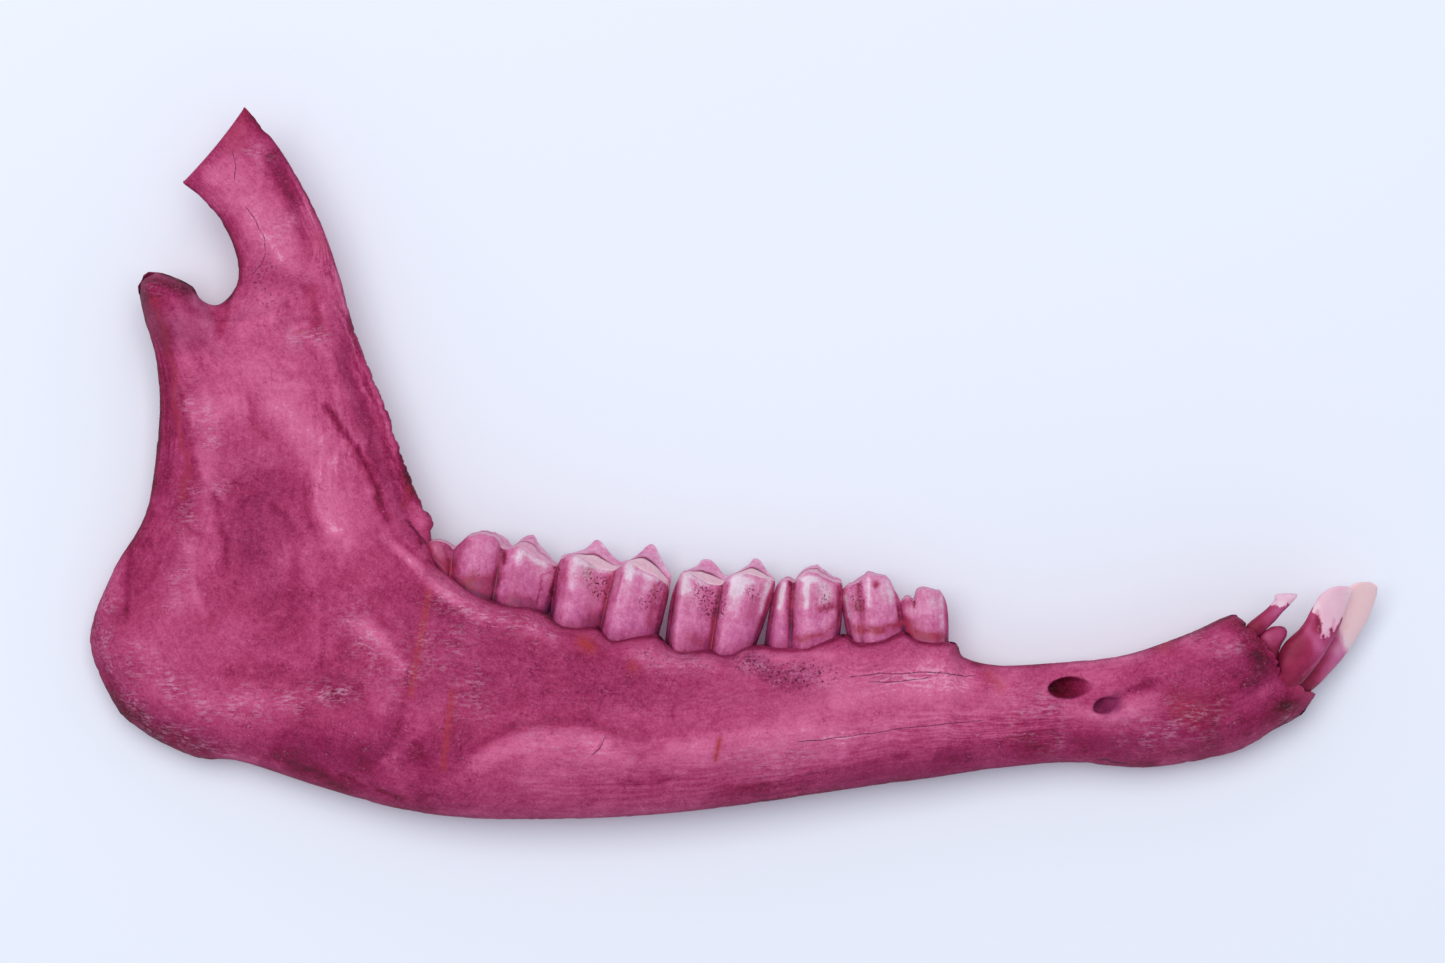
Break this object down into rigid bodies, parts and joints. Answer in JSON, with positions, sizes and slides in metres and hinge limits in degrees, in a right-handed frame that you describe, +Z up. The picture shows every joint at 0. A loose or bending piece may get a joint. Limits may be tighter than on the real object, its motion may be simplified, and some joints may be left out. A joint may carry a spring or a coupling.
{
  "type": "goat jawbone",
  "caption": "Right half of a young goat's lower jaw with its teeth, dry dyed bone, lying on its inner side with the cheek side up.",
  "frame": {"origin": "on the floor, under the middle of the bone's outline seen from above", "axes": "+X forward to the front teeth, +Y up the branch of the jaw to the coronoid process, +Z up, out through the cheek side"},
  "size_m": [0.1676, 0.0926, 0.018],
  "materials": {
    "bone": "dry bone dyed magenta, matt with a faint sheen on the worn edges",
    "tooth": "tooth enamel stained pink by the dye, paler at the crowns, glossy"
  },
  "bodies": {
    "root": {"jawbone": "bone"}
  },
  "joints": []
}
